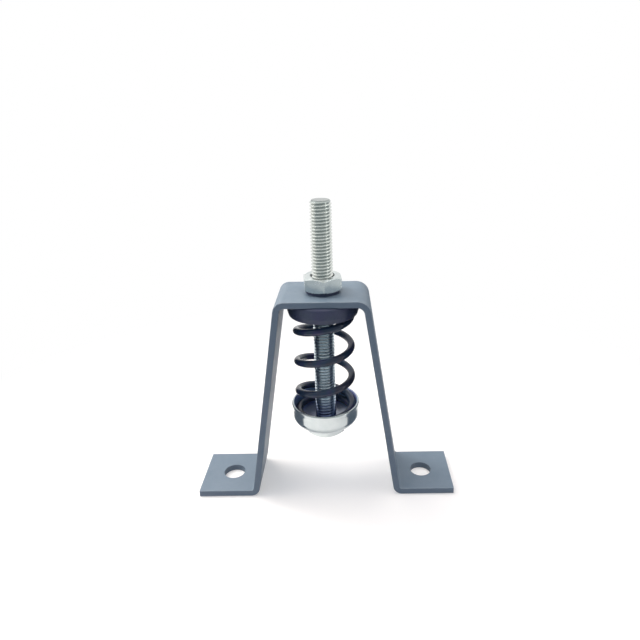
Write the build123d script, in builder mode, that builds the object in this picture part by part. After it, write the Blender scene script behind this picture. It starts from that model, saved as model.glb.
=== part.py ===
from build123d import *
import os
from math import cos, pi, radians, sin, sqrt, tan

# A spring vibration hanger, standing on the two feet of its folded bracket. Millimetres, +Z up.
# The origin is on the underside of the feet, below the axis of the bolt.
# The bracket's plate carries a rubber seat. The spring hangs below it and holds up a pressed cup.
# A fully threaded bolt runs up through cup, spring, seat and plate, and a nut holds it on top.

# Bracket: one flat strip, folded four times
strip_width = 30.0
strip_thickness = 3.0
bracket_height = 100.0
bracket_length = 124.0
plate_overhang = 4.4  # from the seat's edge to a top corner, as if that were sharp
leg_lean = 8.5  # degrees from upright
left_bend_inside = 2.0
right_bend_inside = 3.5
foot_bend_inside = 1.2
hole_spacing = 95.0
foot_hole_diameter = 10.5
edge_rounding = 0.4

# Rubber seat: a web under the plate, a skirt round the spring's end and a neck through the plate
seat_wall = 1.8
seat_web = 2.5
skirt_drop = 4.8  # from the web's underside to the skirt's lower edge
skirt_taper = 0.7  # how much narrower the skirt's lower edge is
skirt_taper_height = 2.4
seat_top_rounding = 1.2
skirt_rounding = 0.5
neck_diameter = 15.2
neck_above_plate = 1.3
neck_clearance = 0.15

# Spring: round wire, wound right-handed, with one closed turn at each end
wire_diameter = 3.4
spring_diameter = 29.4  # over the turns; the seat, cup and plate are made to suit it
spring_length = 58.8
active_turns = 3.1
closed_turns = 1.0
closed_turn_gap = 0.1
pitch_blend = 0.2  # the share of a turn over which the pitch changes
tip_angle = 339.0  # degrees round the axis from +X, at the lower tip
blend_steps = 8
spring_clearance = 0.3

# Cup: one pressed sheet with a rounded corner and a flared rim
cup_side_clearance = 0.4
cup_sheet = 1.1
cup_corner_radius = 5.1
cup_height = 10.8
rim_flare = 0.35
rim_flare_height = 2.2
rim_flare_radius = 4.0
rim_rounding = 0.45

# Bolt and nut
thread_diameter = 10.0
across_flats = 17.0
head_height = 5.0
nut_height = 6.7
rod_above_nut = 35.0
rod_end_chamfer = 1.0
bolt_clearance = 0.25
nut_clearance = 0.05
nut_countersink = 0.7
hex_chamfer_angle = 30.0  # degrees
bearing_ring = 0.95  # flat ring on a hexagon's face, as a share of the width across flats
head_turn = 4.0  # degrees, how far a corner is turned from the front
nut_turn = 7.0
corner_to_front = 30.0  # degrees that bring a hexagon's corner to the front

# Levels on the axis
plate_underside = bracket_height - strip_thickness
web_underside = plate_underside - seat_web
neck_top = bracket_height + neck_above_plate
nut_top = neck_top + nut_height
rod_top = nut_top + rod_above_nut
wire_radius = wire_diameter / 2
coil_radius = spring_diameter / 2 - wire_radius  # to the middle of the wire
upper_tip = web_underside - spring_clearance - wire_radius
lower_tip = upper_tip - (spring_length - wire_diameter)

# The lowest turn rests in the rounded corner of the cup, which sets the cup's level
cup_radius = spring_diameter / 2 + cup_side_clearance + cup_sheet
corner_centre_radius = cup_radius - cup_corner_radius
wire_to_corner_centre = cup_corner_radius - cup_sheet - wire_radius - spring_clearance
tip_below_centre = sqrt(wire_to_corner_centre**2 - (coil_radius - corner_centre_radius) ** 2)
cup_underside = lower_tip + tip_below_centre - cup_corner_radius
head_underside = cup_underside - head_height

skirt_inside = spring_diameter / 2 + spring_clearance
seat_radius = skirt_inside + seat_wall
bolt_radius = thread_diameter / 2
bolt_hole_radius = bolt_radius + bolt_clearance

# The closed turns lie a small gap apart, and the active turns share the rest of the height
closed_pitch = wire_diameter + closed_turn_gap
active_height = upper_tip - lower_tip - 2 * closed_turns * closed_pitch
active_pitch = active_height / active_turns
upper_blend = closed_turns + active_turns


def hexagon_blank(level, height, turn, chamfered_levels):
    """A hexagonal prism, a corner turned from the front by so many degrees, its ends cut to cones."""
    ring = bearing_ring * across_flats / 2
    reach = across_flats
    drop = (reach - ring) * tan(radians(hex_chamfer_angle))
    with BuildPart() as blank:
        with BuildSketch(Plane.XY.offset(level)):
            RegularPolygon(across_flats / 2, 6, major_radius=False, rotation=turn + corner_to_front)
        extrude(amount=height)
        for face_level in chamfered_levels:
            into = 1 if face_level == level else -1
            with BuildSketch(Plane.XZ):
                with BuildLine():
                    Polyline(
                        (ring, face_level),
                        (reach, face_level),
                        (reach, face_level + into * drop),
                        close=True,
                    )
                make_face()
            revolve(axis=Axis.Z, mode=Mode.SUBTRACT)
    return blank.part


def coil_point(turn):
    """The middle of the wire so many turns above the lower tip, the pitch blended at both ends."""
    height = lower_tip + closed_pitch * turn
    for start, step in ((closed_turns, 1), (upper_blend, -1)):
        past = min(max((turn - start) / pitch_blend + 0.5, 0), 1)
        beyond = max(turn - start - pitch_blend / 2, 0)
        height += step * (active_pitch - closed_pitch) * (past**2 / 2 * pitch_blend + beyond)
    angle = radians(tip_angle) + 2 * pi * turn
    return Vector(coil_radius * cos(angle), coil_radius * sin(angle), height)


def coil_run(first, last, run_pitch):
    """A helix of one pitch between two turns of the spring."""
    run = Helix(run_pitch, run_pitch * (last - first), coil_radius, mode=Mode.PRIVATE)
    return Pos(0, 0, coil_point(first).Z) * Rot(0, 0, tip_angle + 360 * first) * run


def coil_blend(below, above, middle):
    """The short curve that leads from one run into the next."""
    points = []
    for step in range(blend_steps + 1):
        points.append(coil_point(middle + pitch_blend * (step / blend_steps - 0.5)))
    return Spline(*points, tangents=[below % 1, above % 0], mode=Mode.PRIVATE)


with BuildPart() as bracket:
    half_plate = seat_radius + plate_overhang
    half_length = bracket_length / 2
    leg_foot = half_plate + (bracket_height - strip_thickness) * tan(radians(leg_lean))
    with BuildSketch(Plane.XZ):
        with BuildLine():
            outer_face = FilletPolyline(
                (-half_length, strip_thickness),
                (-leg_foot, strip_thickness),
                (-half_plate, bracket_height),
                (half_plate, bracket_height),
                (leg_foot, strip_thickness),
                (half_length, strip_thickness),
                radius=[
                    foot_bend_inside,
                    left_bend_inside + strip_thickness,
                    right_bend_inside + strip_thickness,
                    foot_bend_inside,
                ],
            )
            offset(outer_face, amount=strip_thickness, side=Side.RIGHT)
        make_face()
    extrude(amount=strip_width / 2, both=True)
    fillet(bracket.edges().group_by(Axis.Y)[0], edge_rounding)
    fillet(bracket.edges().group_by(Axis.Y)[-1], edge_rounding)
    with Locations((-hole_spacing / 2, 0, strip_thickness), (hole_spacing / 2, 0, strip_thickness)):
        Hole(foot_hole_diameter / 2, depth=strip_thickness)
    with Locations((0, 0, bracket_height)):
        Hole(neck_diameter / 2 + neck_clearance, depth=strip_thickness)

bracket.part.label = "bracket"

with BuildPart() as rubber_seat:
    skirt_bottom = web_underside - skirt_drop
    with BuildSketch(Plane.XZ) as section:
        with BuildLine():
            Polyline(
                (bolt_hole_radius, web_underside),
                (skirt_inside, web_underside),
                (skirt_inside, skirt_bottom),
                (seat_radius - skirt_taper, skirt_bottom),
                (seat_radius, skirt_bottom + skirt_taper_height),
                (seat_radius, plate_underside),
                (neck_diameter / 2, plate_underside),
                (neck_diameter / 2, neck_top),
                (bolt_hole_radius, neck_top),
                close=True,
            )
        make_face()
        fillet(section.vertices().group_by(Axis.X)[-2], skirt_rounding)
        fillet(section.vertices().group_by(Axis.X)[-1].sort_by(Axis.Y)[-1], seat_top_rounding)
    revolve(axis=Axis.Z)

rubber_seat.part.label = "rubber_seat"

with BuildPart() as spring:
    half_blend = pitch_blend / 2
    lower_run = coil_run(0, closed_turns - half_blend, closed_pitch)
    active_run = coil_run(closed_turns + half_blend, upper_blend - half_blend, active_pitch)
    upper_run = coil_run(upper_blend + half_blend, upper_blend + closed_turns, closed_pitch)
    with BuildLine() as centre_line:
        add(lower_run)
        add(coil_blend(lower_run, active_run, closed_turns))
        add(active_run)
        add(coil_blend(active_run, upper_run, upper_blend))
        add(upper_run)
    with BuildSketch(Plane(origin=lower_run @ 0, z_dir=lower_run % 0)):
        Circle(wire_radius)
    sweep(path=centre_line.line, is_frenet=True)

spring.part.label = "spring"

with BuildPart() as spring_cup:
    rim_radius = cup_radius + rim_flare
    rim_top = cup_underside + cup_height
    with BuildSketch(Plane.XZ):
        with BuildLine():
            outside = FilletPolyline(
                (bolt_hole_radius, cup_underside),
                (cup_radius, cup_underside),
                (cup_radius, rim_top - rim_flare_height),
                (rim_radius, rim_top),
                radius=[cup_corner_radius, rim_flare_radius],
            )
            offset(outside, amount=cup_sheet, side=Side.LEFT)
        sheet = make_face()
        fillet(sheet.vertices().sort_by(Axis.Y)[-2:], rim_rounding)
    revolve(axis=Axis.Z)

spring_cup.part.label = "spring_cup"

head_blank = hexagon_blank(head_underside, head_height, head_turn, [head_underside])

with BuildPart() as hanger_bolt:
    add(head_blank)
    with BuildSketch(Plane.XY.offset(cup_underside)):
        Circle(bolt_radius)
    extrude(amount=rod_top - cup_underside)
    chamfer(hanger_bolt.edges().sort_by(Axis.Z)[-1], rod_end_chamfer)

hanger_bolt.part.label = "hanger_bolt"

nut_blank = hexagon_blank(neck_top, nut_height, nut_turn, [neck_top, nut_top])

with BuildPart() as top_nut:
    add(nut_blank)
    with Locations((0, 0, nut_top)):
        Hole(bolt_radius + nut_clearance, depth=nut_height)
    bore_rims = top_nut.edges().filter_by(GeomType.CIRCLE).sort_by(SortBy.RADIUS)[:2]
    chamfer(bore_rims, nut_countersink)

top_nut.part.label = "top_nut"

os.makedirs("parts", exist_ok=True)
for piece in (bracket, rubber_seat, spring, spring_cup, hanger_bolt, top_nut):
    export_step(piece.part, f"parts/{piece.part.label}.step")
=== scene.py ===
import math

import bmesh
import bpy
from mathutils import Matrix, Vector


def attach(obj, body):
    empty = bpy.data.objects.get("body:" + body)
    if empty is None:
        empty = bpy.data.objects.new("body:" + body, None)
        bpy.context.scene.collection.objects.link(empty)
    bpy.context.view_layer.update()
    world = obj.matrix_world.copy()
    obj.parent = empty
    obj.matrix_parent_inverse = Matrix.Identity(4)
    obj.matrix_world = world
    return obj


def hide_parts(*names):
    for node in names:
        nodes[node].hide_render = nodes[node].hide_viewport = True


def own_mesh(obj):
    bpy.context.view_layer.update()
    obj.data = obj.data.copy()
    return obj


# A spring vibration hanger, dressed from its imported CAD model. Metres, +Z up, front is -Y.
# Finer pieces stand for the spring, the bolt, the nut and the cup.
# The bracket and the rubber seat are shown as packed, with materials.

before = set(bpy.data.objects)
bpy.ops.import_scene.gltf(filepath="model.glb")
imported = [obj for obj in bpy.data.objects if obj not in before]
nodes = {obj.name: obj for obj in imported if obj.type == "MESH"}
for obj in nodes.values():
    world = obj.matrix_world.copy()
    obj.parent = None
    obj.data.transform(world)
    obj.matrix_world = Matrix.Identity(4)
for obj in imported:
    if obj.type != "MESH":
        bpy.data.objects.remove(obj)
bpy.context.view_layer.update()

MM = 0.001
FULL_TURN = 2 * math.pi
WHITE = (1.0, 1.0, 1.0)

# ------------------------------------------------------------ sizes in millimetres, as in the CAD
# Cup
CUP_UNDERSIDE = 32.6245
CUP_HEIGHT = 10.8
CUP_RADIUS = 16.2
CUP_SHEET = 1.1
CUP_CORNER = 5.1
CUP_BORE = 5.25
RIM_FLARE = 0.35
RIM_FLARE_HEIGHT = 2.2
RIM_FLARE_RADIUS = 4.0
RIM_ROUNDING = 0.45

# Spring
WIRE_RADIUS = 1.7
COIL_RADIUS = 13.0  # to the middle of the wire
LOWER_TIP = 37.1
UPPER_TIP = 92.5
TIP_ANGLE = math.radians(339)
CLOSED_TURNS = 1.0  # at each end
CLOSED_PITCH = 3.5
ACTIVE_TURNS = 3.1
ACTIVE_PITCH = (UPPER_TIP - LOWER_TIP - 2 * CLOSED_TURNS * CLOSED_PITCH) / ACTIVE_TURNS
PITCH_BLEND = 0.2  # turns over which the pitch changes

# Bolt and nut
ROD_RADIUS = 5.0
ROD_TOP = 143.0
ROD_CHAMFER = 1.0
ROD_INTO_HEAD = 0.5
THREAD_PITCH = 1.5
THREAD_DEPTH = 0.86
ACROSS_FLATS = 17.0
BEARING_RING = 0.95 * ACROSS_FLATS / 2
HEX_CHAMFER = math.tan(math.radians(30))
HEAD_HEIGHT = 5.0
HEAD_TURN = math.radians(4)
NUT_UNDERSIDE = 101.3
NUT_HEIGHT = 6.7
NUT_TURN = math.radians(7)
NUT_BORE = 5.05
NUT_COUNTERSINK = 0.7

# ------------------------------------------------------------ what only the scene has
# The active turns lean a little, as in the photo: by these slopes, and between these turns
LEAN_BACK = math.tan(math.radians(4.3))
LEAN_SIDE = math.tan(math.radians(1.05))
LEAN_FROM = 0.85
LEAN_TO = ACTIVE_TURNS + 1.35
LEAN_BLEND = 0.5

# The rounding of the wire's cut ends, and its rings as shares of it: (along the wire, inwards)
CUT_ROUNDING = 0.25
CUT_RINGS = ((0.0, 1.0), (0.3, 0.3), (1.0, 0.0))

# One pitch of the thread, from a flat crest over a round root: (share of the pitch, depth in mm)
THREAD_PROFILE = (
    (0.00, 0.03),
    (0.03, 0.00),
    (0.10, 0.00),
    (0.13, 0.03),
    (0.34, THREAD_DEPTH / 2),
    (0.50, THREAD_DEPTH - 0.10),
    (0.54, THREAD_DEPTH - 0.02),
    (0.565, THREAD_DEPTH),
    (0.59, THREAD_DEPTH - 0.02),
    (0.63, THREAD_DEPTH - 0.10),
    (0.79, THREAD_DEPTH / 2),
)

# How finely the pieces are made
COIL_STEPS = 72  # a turn
WIRE_SIDES = 24
THREAD_COLUMNS = 48
ROUND_SIDES = 144
ARC_STEP = math.radians(6)
HEX_BEVEL = 0.15


# ------------------------------------------------------------ nodes
class Nodes:
    """Short ways to add nodes to a tree."""

    def __init__(self, tree):
        self.tree = tree

    def new(self, kind, **settings):
        node = self.tree.nodes.new(kind)
        for key, value in settings.items():
            setattr(node, key, value)
        return node

    def link(self, source, target):
        self.tree.links.new(source, target)

    def feed(self, socket, item):
        """Give a socket a number, a colour or another node's output."""
        if isinstance(item, (int, float)):
            socket.default_value = item
        elif isinstance(item, tuple):
            socket.default_value = (*item, 1.0)
        else:
            self.link(item, socket)

    def value(self, operation, *inputs):
        node = self.new("ShaderNodeMath", operation=operation)
        for socket, item in zip(node.inputs, inputs):
            self.feed(socket, item)
        return node.outputs[0]

    def mix(self, factor, first, second, blend="MIX"):
        node = self.new("ShaderNodeMix", data_type="RGBA", blend_type=blend)
        sockets = (node.inputs["Factor"], *node.inputs[6:8])  # 6 and 7 are the two colours
        for socket, item in zip(sockets, (factor, first, second)):
            self.feed(socket, item)
        return node.outputs[2]

    def map_range(self, source, from_min, from_max, to_min=0.0, to_max=1.0):
        node = self.new("ShaderNodeMapRange", interpolation_type="SMOOTHSTEP")
        for key, item in (
            ("Value", source),
            ("From Min", from_min),
            ("From Max", from_max),
            ("To Min", to_min),
            ("To Max", to_max),
        ):
            self.feed(node.inputs[key], item)
        return node.outputs[0]

    def ramp(self, source, *stops):
        """A colour ramp: stops are (position, (r, g, b)) in linear light, or (position, grey)."""
        node = self.new("ShaderNodeValToRGB")
        elements = node.color_ramp.elements
        while len(elements) < len(stops):
            elements.new(0.5)
        for element, (position, colour) in zip(elements, stops):
            element.position = position
            if isinstance(colour, (int, float)):
                colour = (colour, colour, colour)
            element.color = (*colour, 1.0)
        self.link(source, node.inputs["Fac"])
        return node.outputs["Color"]

    def ramp_mm(self, source, *stops, reach):
        """A colour ramp from 0 to its reach: stops are (place, colour), all in millimetres."""
        share = self.value("MULTIPLY", source, 1 / reach)
        return self.ramp(share, *((place / reach, colour) for place, colour in stops))

    def coordinates(self, kind):
        """X, Y and Z of one kind of texture coordinates."""
        split = self.new("ShaderNodeSeparateXYZ")
        self.link(self.new("ShaderNodeTexCoord").outputs[kind], split.inputs[0])
        return split.outputs

    def seen_rays(self):
        """The Light Path outputs, and one for camera, glossy and transmission rays together."""
        path = self.new("ShaderNodeLightPath").outputs
        seen = self.value("MAXIMUM", path["Is Camera Ray"], path["Is Glossy Ray"])
        return path, self.value("MAXIMUM", seen, path["Is Transmission Ray"])


class Material(Nodes):
    """A new material with a Principled shader, in object coordinates."""

    def __init__(self, name):
        self.material = bpy.data.materials.new(name)
        self.material.use_nodes = True
        super().__init__(self.material.node_tree)
        self.shader = self.tree.nodes["Principled BSDF"]

    def set(self, **inputs):
        for key, item in inputs.items():
            self.feed(self.shader.inputs[key.replace("_", " ")], item)

    def noise(self, size_mm, detail=2.0, roughness=0.5):
        """Noise whose features are about so many millimetres large."""
        noise = self.new("ShaderNodeTexNoise")
        noise.inputs["Scale"].default_value = 1.0 / (size_mm * MM)
        noise.inputs["Detail"].default_value = detail
        noise.inputs["Roughness"].default_value = roughness
        place = self.new("ShaderNodeTexCoord").outputs["Object"]
        self.link(place, noise.inputs["Vector"])
        return noise.outputs["Fac"]

    def bump(self, height, strength, distance_mm):
        node = self.new("ShaderNodeBump")
        node.inputs["Strength"].default_value = strength
        node.inputs["Distance"].default_value = distance_mm * MM
        self.link(height, node.inputs["Height"])
        return node.outputs["Normal"]

    def axis_mm(self, axis):
        return self.value("MULTIPLY", self.coordinates("Object")[axis], 1 / MM)

    def radius_mm(self):
        """Distance from the bolt's axis."""
        x, y = self.axis_mm("X"), self.axis_mm("Y")
        square = self.value("ADD", self.value("MULTIPLY", x, x), self.value("MULTIPLY", y, y))
        return self.value("SQRT", square)


# ------------------------------------------------------------ materials
def bracket_paint():
    """Slate blue enamel on steel bar: semi-gloss, a faint orange peel, a little uneven."""
    m = Material("bracket_paint")
    drift = m.noise(11, 4.0, 0.6)
    colour = m.ramp(drift, (0.32, (0.126, 0.184, 0.246)), (0.68, (0.150, 0.208, 0.271)))
    specks = m.ramp(m.noise(0.5, 2.0, 0.6), (0.38, 0.93), (0.64, 1.05))
    colour = m.mix(1.0, colour, specks, "MULTIPLY")
    # Both long edges of the bar are lighter: a little wear, and a painted highlight along their
    # rounding
    from_middle = m.value("ABSOLUTE", m.axis_mm("Y"))
    edge = m.ramp_mm(
        from_middle, (14.44, 0.0), (14.68, 1.0), (14.90, 1.0), (14.97, 0.0), reach=20
    )
    wear_and_highlight = m.value("MULTIPLY", edge, m.ramp(m.noise(5.0, 3.0), (0.35, 0.25), (0.65, 0.85)))
    m.set(Base_Color=m.mix(wear_and_highlight, colour, (0.235, 0.290, 0.345)))
    m.set(Roughness=m.ramp(m.noise(4.0, 3.0), (0.3, 0.48), (0.7, 0.56)), Specular_IOR_Level=1.0)
    m.set(Normal=m.bump(m.noise(1.2, 1.0), 0.20, 0.018))
    return m.material


def rubber():
    """Dark blue-grey moulded rubber with a little dust."""
    m = Material("rubber")
    colour = m.ramp(m.noise(7, 3.0), (0.3, (0.051, 0.058, 0.120)), (0.7, (0.052, 0.071, 0.110)))
    dust = m.ramp(m.noise(0.4, 2.0), (0.45, 0.92), (0.70, 1.15))
    m.set(Base_Color=m.mix(1.0, colour, dust, "MULTIPLY"))
    m.set(Roughness=m.ramp(m.noise(1.5, 2.0), (0.3, 0.42), (0.7, 0.56)))
    m.set(Normal=m.bump(m.noise(0.35, 2.0), 0.25, 0.010))
    return m.material


def spring_coating():
    """Blue-black coating on spring wire: glossy, with faint violet, green and brown drifts."""
    m = Material("spring_coating")
    tint = m.ramp(
        m.noise(10, 2.0),
        (0.36, (0.041, 0.043, 0.116)),
        (0.50, (0.030, 0.057, 0.098)),
        (0.64, (0.041, 0.045, 0.074)),
    )
    m.set(Base_Color=tint, Specular_IOR_Level=0.38)
    m.set(Roughness=m.ramp(m.noise(1.2, 3.0), (0.3, 0.12), (0.7, 0.19)))
    m.set(Normal=m.bump(m.noise(0.7, 2.0), 0.16, 0.012))
    return m.material


def zinc_colour(m):
    """Bright zinc plating: slightly blue, with a soft cloud in it."""
    cloud = m.noise(6, 3.0, 0.6)
    return m.ramp(cloud, (0.3, (0.595, 0.655, 0.655)), (0.7, (0.685, 0.735, 0.73)))


def zinc_finish(m, colour, metallic, rough, matt=None):
    """Plating with uneven gloss and very fine grain. A matt part is (where, roughness)."""
    gloss = m.ramp(m.noise(2.5, 2.0), (0.3, rough - 0.03), (0.7, rough + 0.04))
    if matt:
        where, matt_rough = matt
        gloss = m.mix(where, gloss, (matt_rough, matt_rough, matt_rough))
    m.set(Base_Color=colour, Metallic=metallic, Roughness=gloss)
    m.set(Normal=m.bump(m.noise(0.5, 2.0), 0.08, 0.003))
    return m.material


def zinc_sheet():
    """The pressed cup: bright outside; inside matt and painted dark blue as shade, its floor
    painted lighter as lit.
    """
    m = Material("zinc_sheet")
    height = m.axis_mm("Z")
    # The inside is what lies inwards of the middle of the sheet
    past_corner = m.value("SUBTRACT", m.radius_mm(), CUP_RADIUS - CUP_CORNER)
    past_corner = m.value("MAXIMUM", past_corner, 0.0)
    below_corner = m.value("SUBTRACT", CUP_UNDERSIDE + CUP_CORNER, height)
    below_corner = m.value("MAXIMUM", below_corner, 0.0)
    squares = m.value(
        "ADD",
        m.value("MULTIPLY", past_corner, past_corner),
        m.value("MULTIPLY", below_corner, below_corner),
    )
    inside = m.value("LESS_THAN", squares, (CUP_CORNER - CUP_SHEET / 2) ** 2)
    # Painted shade and light: the inside is coloured dark blue, and its floor painted lighter
    # where light falls
    inside_shade_and_light = m.ramp(m.noise(12, 1.0), (0.4, (0.36, 0.37, 0.76)), (0.6, (0.30, 0.48, 0.72)))
    on_floor = m.ramp_mm(height, (33.8, 1.0), (35.2, 0.0), reach=100)
    inside_shade_and_light = m.mix(on_floor, inside_shade_and_light, (0.80, 0.86, 1.0))
    colour = m.mix(inside, zinc_colour(m), inside_shade_and_light)
    metallic, metallic_inside = 0.82, 0.10
    metallic = m.value("MULTIPLY_ADD", inside, metallic_inside - metallic, metallic)
    return zinc_finish(m, colour, metallic, rough=0.17, matt=(inside, 0.42))


def zinc_fastener():
    """The bolt: painted shade in its thread roots, and painted reflection and shade by height."""
    m = Material("zinc_fastener")
    height = m.axis_mm("Z")
    radius = m.radius_mm()
    colour = zinc_colour(m)
    # Painted shade in the thread roots, deeper below the plate than above it
    root_shade = m.ramp_mm(height, (96, 0.44), (102, 0.76), reach=150)
    in_root = m.ramp_mm(radius, (4.16, 1.0), (4.62, 0.0), reach=10)
    shaded = m.mix(1.0, colour, m.mix(in_root, WHITE, root_shade), "MULTIPLY")
    # Painted reflection and shade by height: dark blue in the cup, lighter along the spring and
    # above the plate, darker on the chamfer and the cut end
    painted_reflection = m.ramp_mm(
        height,
        (37.5, (0.46, 0.52, 0.84)),  # in the cup
        (48, (1.16, 1.20, 1.29)),
        (90, (1.18, 1.22, 1.28)),
        (105, (1.16, 1.11, 1.06)),  # above the plate
        (141.93, (1.16, 1.11, 1.06)),
        (142.125, (0.86, 0.86, 0.83)),  # the chamfer
        (142.95, (0.80, 0.81, 0.79)),
        (142.98, (0.50, 0.52, 0.51)),  # the cut end
        reach=150,
    )
    shaded = m.mix(1.0, shaded, painted_reflection, "MULTIPLY")
    on_rod = m.value("LESS_THAN", radius, ROD_RADIUS + 0.02)
    return zinc_finish(m, m.mix(on_rod, colour, shaded), metallic=0.92, rough=0.16)


def zinc_nut():
    """The nut: painted shade in its countersink."""
    m = Material("zinc_nut")
    # Painted shade: the countersink around the rod is darkened
    bore = m.ramp_mm(m.radius_mm(), (5.60, 0.20), (5.85, 1.0), reach=10)
    colour = m.mix(1.0, zinc_colour(m), bore, "MULTIPLY")
    return zinc_finish(m, colour, metallic=0.84, rough=0.24)


PAINT = bracket_paint()
RUBBER = rubber()
COATING = spring_coating()
ZINC_SHEET = zinc_sheet()
ZINC_FASTENER = zinc_fastener()
ZINC_NUT = zinc_nut()


# ------------------------------------------------------------ meshes
def make_object(name, bm, material, sharp_angle=30):
    mesh = bpy.data.meshes.new(name)
    bmesh.ops.recalc_face_normals(bm, faces=bm.faces)
    bm.to_mesh(mesh)
    bm.free()
    for polygon in mesh.polygons:
        polygon.use_smooth = True
    mesh.set_sharp_from_angle(angle=math.radians(sharp_angle))
    mesh.materials.append(material)
    obj = bpy.data.objects.new(name, mesh)
    bpy.context.scene.collection.objects.link(obj)
    return obj


def bevel(obj, width_mm, segments=2, angle=28):
    modifier = obj.modifiers.new("edges", "BEVEL")
    modifier.width = width_mm * MM
    modifier.segments = segments
    modifier.limit_method = "ANGLE"
    modifier.angle_limit = math.radians(angle)
    modifier.harden_normals = True


def polar_vert(bm, radius, angle, level):
    """A vertex at a radius, an angle and a level, the lengths in millimetres."""
    place = Vector((radius * math.cos(angle), radius * math.sin(angle), level))
    return bm.verts.new(place * MM)


def circle(bm, radius, level):
    ring = []
    for i in range(ROUND_SIDES):
        ring.append(polar_vert(bm, radius, FULL_TURN * i / ROUND_SIDES, level))
    return ring


def ring_loft(bm, rings):
    """Quads between closed rings of the same number of vertices."""
    for low, high in zip(rings, rings[1:]):
        count = len(low)
        for i in range(count):
            j = (i + 1) % count
            bm.faces.new((low[i], low[j], high[j], high[i]))


def clamp(value):
    return min(max(value, 0), 1)


# ------------------------------------------------------------ spring
def coil_point(turn):
    """The middle of the wire so many turns above the lower tip."""
    height = LOWER_TIP + CLOSED_PITCH * turn
    for start, step in ((CLOSED_TURNS, 1), (CLOSED_TURNS + ACTIVE_TURNS, -1)):
        past = clamp((turn - start) / PITCH_BLEND + 0.5)
        beyond = max(turn - start - PITCH_BLEND / 2, 0)
        rise = past**2 / 2 * PITCH_BLEND + beyond
        height += step * (ACTIVE_PITCH - CLOSED_PITCH) * rise
    angle = TIP_ANGLE + FULL_TURN * turn
    x = COIL_RADIUS * math.cos(angle)
    y = COIL_RADIUS * math.sin(angle)
    share = clamp((turn - LEAN_FROM) / LEAN_BLEND) * clamp((LEAN_TO - turn) / LEAN_BLEND)
    share = share * share * (3 - 2 * share)
    return Vector((x, y, height - share * (LEAN_BACK * y + LEAN_SIDE * x)))


def wire_ring(bm, point, tangent, radius):
    outward = Vector((point.x, point.y, 0)).normalized()
    outward = (outward - tangent * outward.dot(tangent)).normalized()
    across = tangent.cross(outward)
    ring = []
    for i in range(WIRE_SIDES):
        angle = FULL_TURN * i / WIRE_SIDES
        offset = (outward * math.cos(angle) + across * math.sin(angle)) * radius
        ring.append(bm.verts.new((point + offset) * MM))
    return ring


def make_spring():
    bm = bmesh.new()
    turns = ACTIVE_TURNS + 2 * CLOSED_TURNS
    steps = round(turns * COIL_STEPS)
    nudge = 1e-4  # turns, to find the wire's direction
    rings = []
    for i in range(steps + 1):
        turn = turns * i / steps
        point = coil_point(turn)
        tangent = (coil_point(turn + nudge) - coil_point(turn - nudge)).normalized()
        if i == 0:
            cut_rings, into = CUT_RINGS, CUT_ROUNDING
        elif i == steps:
            cut_rings, into = CUT_RINGS[::-1], -CUT_ROUNDING
        else:
            cut_rings, into = ((0.0, 0.0),), 0.0
        for along, inwards in cut_rings:
            radius = WIRE_RADIUS - inwards * CUT_ROUNDING
            rings.append(wire_ring(bm, point + tangent * into * along, tangent, radius))
    ring_loft(bm, rings)
    bm.faces.new(rings[0])
    bm.faces.new(rings[-1])
    return make_object("coil_spring", bm, COATING, 50)


spring = make_spring()
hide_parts("spring")
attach(spring, "bracket")
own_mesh(spring)


# ------------------------------------------------------------ bolt, with a real helical thread
def hexagon_rings(bm, underside, height, turn, chamfer_low, chamfer_high):
    """Rings of a hexagon blank from its lower face to its upper one, its corners cut to cones."""
    half_side = math.radians(30)

    def outline(level, slope):
        ring = []
        for i in range(ROUND_SIDES):
            angle = FULL_TURN * i / ROUND_SIDES
            phase = (angle - turn + half_side) % (2 * half_side) - half_side
            radius = ACROSS_FLATS / 2 / math.cos(phase)
            cut = slope * max(0, radius - BEARING_RING)
            ring.append(polar_vert(bm, radius, angle, level + cut))
        return ring

    top = underside + height
    rings = []
    if chamfer_low:
        rings.append(circle(bm, BEARING_RING, underside))
    rings.append(outline(underside, HEX_CHAMFER if chamfer_low else 0))
    rings.append(outline(top, -HEX_CHAMFER if chamfer_high else 0))
    if chamfer_high:
        rings.append(circle(bm, BEARING_RING, top))
    return rings


def make_rod(bottom, top):
    """The rod as one helical grid of vertices, cut level at both ends."""
    bm = bmesh.new()
    first = math.floor((bottom - THREAD_PITCH) / THREAD_PITCH) - 1
    last = math.ceil(top / THREAD_PITCH) + 1
    rows = []
    for k in range(first, last):
        for share, depth in THREAD_PROFILE:
            rows.append(((k + share) * THREAD_PITCH, ROD_RADIUS - depth))
    verts = {}

    def vert(r, i):
        """One vertex. A full turn leads one pitch up, so the last column is the next first one."""
        if i == THREAD_COLUMNS:
            r, i = r + len(THREAD_PROFILE), 0
        if r >= len(rows):
            return None
        if (r, i) not in verts:
            height, radius = rows[r]
            level = height + THREAD_PITCH * i / THREAD_COLUMNS
            radius = min(radius, ROD_RADIUS - max(0, level - (top - ROD_CHAMFER)))
            verts[r, i] = polar_vert(bm, radius, FULL_TURN * i / THREAD_COLUMNS, level)
        return verts[r, i]

    for r in range(len(rows) - 1):
        for i in range(THREAD_COLUMNS):
            corners = [vert(r, i), vert(r, i + 1), vert(r + 1, i + 1), vert(r + 1, i)]
            if None not in corners:
                bm.faces.new(corners)
    for level, normal in ((bottom, -1), (top, 1)):
        result = bmesh.ops.bisect_plane(
            bm,
            geom=bm.verts[:] + bm.edges[:] + bm.faces[:],
            dist=1e-7,
            plane_co=(0, 0, level * MM),
            plane_no=(0, 0, normal),
            clear_outer=True,
        )
        cut = [e for e in result["geom_cut"] if isinstance(e, bmesh.types.BMEdge)]
        bmesh.ops.holes_fill(bm, edges=cut, sides=0)
    return bm


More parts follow.
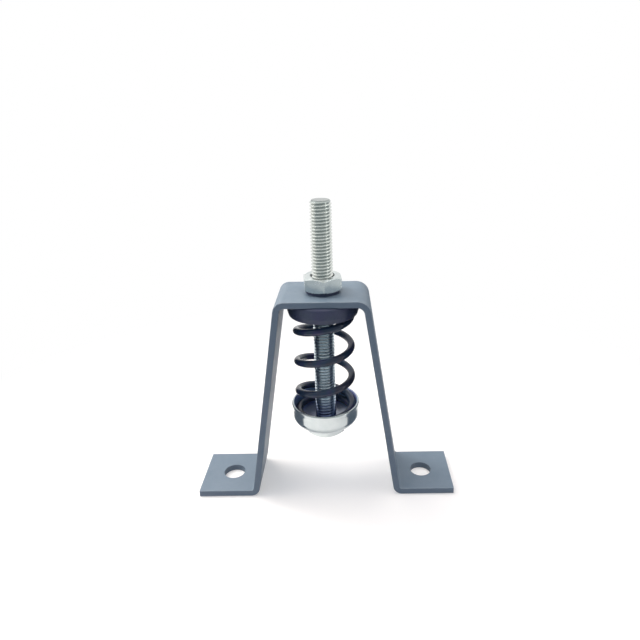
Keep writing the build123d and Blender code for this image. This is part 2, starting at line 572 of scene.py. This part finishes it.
def make_bolt():
    thread = make_rod(CUP_UNDERSIDE - ROD_INTO_HEAD, ROD_TOP)
    rod = make_object("rod", thread, ZINC_FASTENER, 35)
    bm = bmesh.new()
    rings = hexagon_rings(bm, CUP_UNDERSIDE - HEAD_HEIGHT, HEAD_HEIGHT, HEAD_TURN, True, False)
    ring_loft(bm, rings)
    bm.faces.new(rings[0])
    bm.faces.new(rings[-1])
    head = make_object("bolt_head", bm, ZINC_FASTENER, 20)
    bevel(head, HEX_BEVEL)
    return rod, head


rod, bolt_head = make_bolt()
for piece in (rod, bolt_head):
    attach(piece, "bolt")
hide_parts("hanger_bolt")


# ------------------------------------------------------------ nut
def make_nut():
    bm = bmesh.new()
    top = NUT_UNDERSIDE + NUT_HEIGHT
    rings = hexagon_rings(bm, NUT_UNDERSIDE, NUT_HEIGHT, NUT_TURN, True, True)
    wide = NUT_BORE + NUT_COUNTERSINK
    bore = [
        circle(bm, wide, top),
        circle(bm, NUT_BORE, top - NUT_COUNTERSINK),
        circle(bm, NUT_BORE, NUT_UNDERSIDE + NUT_COUNTERSINK),
        circle(bm, wide, NUT_UNDERSIDE),
    ]
    ring_loft(bm, rings + bore + [rings[0]])
    nut = make_object("nut", bm, ZINC_NUT, 20)
    bevel(nut, HEX_BEVEL)
    return nut


nut = make_nut()
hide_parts("top_nut")
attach(nut, "nut")


# ------------------------------------------------------------ cup, turned from its section
def rounded(points, radii):
    """A polyline in (radius, level) with its inner corners rounded."""
    path = [Vector(points[0])]
    for before, corner, after, radius in zip(points, points[1:], points[2:], radii):
        corner = Vector(corner)
        into = (Vector(before) - corner).normalized()
        out = (Vector(after) - corner).normalized()
        half = into.angle(out) / 2
        centre = corner + (into + out).normalized() * radius / math.sin(half)
        spoke = corner + into * radius / math.tan(half) - centre
        sweep = spoke.angle_signed(corner + out * radius / math.tan(half) - centre)
        count = max(4, round(abs(sweep) / ARC_STEP))
        for i in range(count + 1):
            path.append(centre + Matrix.Rotation(-sweep * i / count, 2) @ spoke)
    path.append(Vector(points[-1]))
    return path


def offset_inwards(path, amount):
    moved = []
    for i, point in enumerate(path):
        along = (path[min(i + 1, len(path) - 1)] - path[max(i - 1, 0)]).normalized()
        moved.append(point + Vector((-along.y, along.x)) * amount)
    return moved


def make_cup():
    rim_top = CUP_UNDERSIDE + CUP_HEIGHT
    outside = rounded(
        [
            (CUP_BORE, CUP_UNDERSIDE),
            (CUP_RADIUS, CUP_UNDERSIDE),
            (CUP_RADIUS, rim_top - RIM_FLARE_HEIGHT),
            (CUP_RADIUS + RIM_FLARE, rim_top),
        ],
        [CUP_CORNER, RIM_FLARE_RADIUS],
    )
    inside = offset_inwards(outside, CUP_SHEET)
    rim_corners = [outside[-2], outside[-1], inside[-1], inside[-2]]
    rim = rounded(rim_corners, [RIM_ROUNDING, RIM_ROUNDING])
    bm = bmesh.new()
    rings = []
    for radius, level in outside[:-2] + rim + inside[-3::-1]:
        rings.append(circle(bm, radius, level))
    ring_loft(bm, rings + [rings[0]])
    return make_object("pressed_cup", bm, ZINC_SHEET, 40)


cup = make_cup()
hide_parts("spring_cup")
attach(cup, "cup")


# ------------------------------------------------------------ CAD nodes that stay
for name, material in (("bracket", PAINT), ("rubber_seat", RUBBER)):
    node = nodes[name]
    node.data.materials.clear()
    node.data.materials.append(material)


# ------------------------------------------------------------ floor and world
FLOOR_RADIUS = 3.0  # metres
FLOOR_DROP = 0.0002  # metres, below the feet
FLOOR_GLOW = 0.34
COOL = (0.87, 1.0, 1.27)  # the light from the room and from the front
DIM_FLOOR = (0.43, 0.48, 0.51)  # the floor in metal, in front and behind on the right
DIM_ROOM = (0.40, 0.445, 0.465)  # the dimmer room in metal


def floor_material():
    """A pale floor that keeps the shadow near the object and turns white further out."""
    m = Material("floor_paint")
    path, seen = m.seen_rays()
    m.set(Base_Color=m.mix(seen, (0.18, 0.20, 0.25), (0.70, 0.70, 0.70)), Roughness=1.0)
    m.set(Specular_IOR_Level=0.0, Emission_Color=WHITE)
    m.set(Emission_Strength=m.value("MULTIPLY", seen, FLOOR_GLOW))
    x, y, radius = m.axis_mm("X"), m.axis_mm("Y"), m.radius_mm()
    in_front = m.value("MULTIPLY", m.map_range(y, -30, -130), m.map_range(radius, 200, 330))
    in_front = m.value("MULTIPLY", in_front, m.map_range(x, 150, 300, 1.0, 0.8))
    behind_right = m.value("MULTIPLY", m.map_range(y, -20, 60), m.map_range(x, 40, 140))
    dim = m.value("MULTIPLY", m.value("MAXIMUM", in_front, behind_right), path["Is Glossy Ray"])
    far = m.new("ShaderNodeEmission")
    m.feed(far.inputs["Color"], m.mix(dim, WHITE, DIM_FLOOR))
    is_far = m.value("MULTIPLY", m.map_range(radius, 90, 260), seen)
    blend = m.new("ShaderNodeMixShader")
    m.link(m.value("MAXIMUM", is_far, dim), blend.inputs[0])
    m.link(m.shader.outputs[0], blend.inputs[1])
    m.link(far.outputs[0], blend.inputs[2])
    m.link(blend.outputs[0], m.tree.nodes["Material Output"].inputs["Surface"])
    return m.material


def make_floor():
    bm = bmesh.new()
    bmesh.ops.create_circle(bm, cap_ends=True, radius=FLOOR_RADIUS, segments=96)
    floor = make_object("floor", bm, floor_material())
    floor.location.z = -FLOOR_DROP


def make_world():
    """White to the eye. Metal mirrors a dimmer room in front, above and on the right.

    As a light the room is cool, and weaker towards the right.
    """
    world = bpy.data.worlds.new("studio")
    bpy.context.scene.world = world
    world.use_nodes = True
    n = Nodes(world.node_tree)
    path, seen = n.seen_rays()
    x, y, z = n.coordinates("Generated")
    dim = n.value("MAXIMUM", n.map_range(y, -0.14, -0.44), n.map_range(x, 0.65, 0.88))
    dim = n.value("MAXIMUM", dim, n.map_range(z, 0.58, 0.88, 0.0, 0.15))
    dim = n.value("MULTIPLY", dim, path["Is Glossy Ray"])
    strength = n.new("ShaderNodeMix")
    n.feed(strength.inputs["Factor"], seen)
    n.feed(strength.inputs["A"], n.map_range(x, -1, 1, 0.48, 0.14))
    n.feed(strength.inputs["B"], 1.0)
    background = n.tree.nodes["Background"]
    n.link(n.mix(seen, COOL, n.mix(dim, WHITE, DIM_ROOM)), background.inputs["Color"])
    n.link(strength.outputs["Result"], background.inputs["Strength"])


make_floor()
make_world()


# ------------------------------------------------------------ lights
def softbox(name, place, aim, size, power, colour=WHITE, mirrored=True):
    """A rectangular lamp: size is its width and height in metres, power is in watts.

    One that isn't mirrored lights the object without a highlight.
    """
    light = bpy.data.lights.new(name, "AREA")
    light.shape = "RECTANGLE"
    light.size, light.size_y = size
    light.energy = power
    light.color = colour
    obj = bpy.data.objects.new(name, light)
    obj.visible_glossy = mirrored
    bpy.context.scene.collection.objects.link(obj)
    turned = (Vector(aim) - Vector(place)).to_track_quat("-Z", "Y").to_matrix().to_4x4()
    obj.matrix_world = Matrix.Translation(place) @ turned


KEY_AT = (-0.50, 0.25, 0.70)
MIDDLE = (0, 0, 0.06)
WARM = (1.0, 0.895, 0.78)
WARMER = (1.0, 0.74, 0.50)
softbox("key", KEY_AT, MIDDLE, (0.90, 0.90), 9.9, WARM, mirrored=False)
softbox("glint", KEY_AT, MIDDLE, (0.14, 0.14), 1.0)
softbox("fill_right", (0.70, -0.24, 0.32), (0, 0, 0.08), (0.11, 0.34), 0.45)
softbox("fill_top", (0.22, 0.05, 0.80), MIDDLE, (0.5, 0.5), 1.7, mirrored=False)
softbox("fill_front", (-0.42, -0.52, 0.42), MIDDLE, (0.45, 0.45), 0.14, COOL, mirrored=False)
softbox("fill_near", (0.05, -0.04, 0.36), (0, 0, 0.10), (0.2, 0.2), 0.22, WARMER, mirrored=False)


# ------------------------------------------------------------ camera, fitted to the photo
FRAME_PX = 640
SENSOR = 36.0
FOCAL_PX = 555.317
CENTRE_PX = (348.254, 261.087)
CAMERA_AT = (12.275, -243.565, 185.243)
YAW = math.radians(-0.053)
PITCH = math.radians(16.218)
ROLL = math.radians(-0.787)

level_forward = Vector((math.sin(YAW), math.cos(YAW), 0))
forward = level_forward * math.cos(PITCH) - Vector((0, 0, math.sin(PITCH)))
right = Vector((math.cos(YAW), -math.sin(YAW), 0))
up = right.cross(forward)
right_rolled = right * math.cos(ROLL) + up * math.sin(ROLL)
up_rolled = up * math.cos(ROLL) - right * math.sin(ROLL)
camera_data = bpy.data.cameras.new("camera")
camera_data.sensor_width = SENSOR
camera_data.lens = FOCAL_PX / FRAME_PX * SENSOR
camera_data.shift_x = (FRAME_PX / 2 - CENTRE_PX[0]) / FRAME_PX
camera_data.shift_y = (CENTRE_PX[1] - FRAME_PX / 2) / FRAME_PX
camera_data.clip_start = 0.01
camera = bpy.data.objects.new("camera", camera_data)
bpy.context.scene.collection.objects.link(camera)
turned = Matrix((right_rolled, up_rolled, -forward)).transposed()
camera.matrix_world = Matrix.Translation(Vector(CAMERA_AT) * MM) @ turned.to_4x4()
bpy.context.scene.camera = camera

bpy.context.scene.view_settings.view_transform = "Standard"
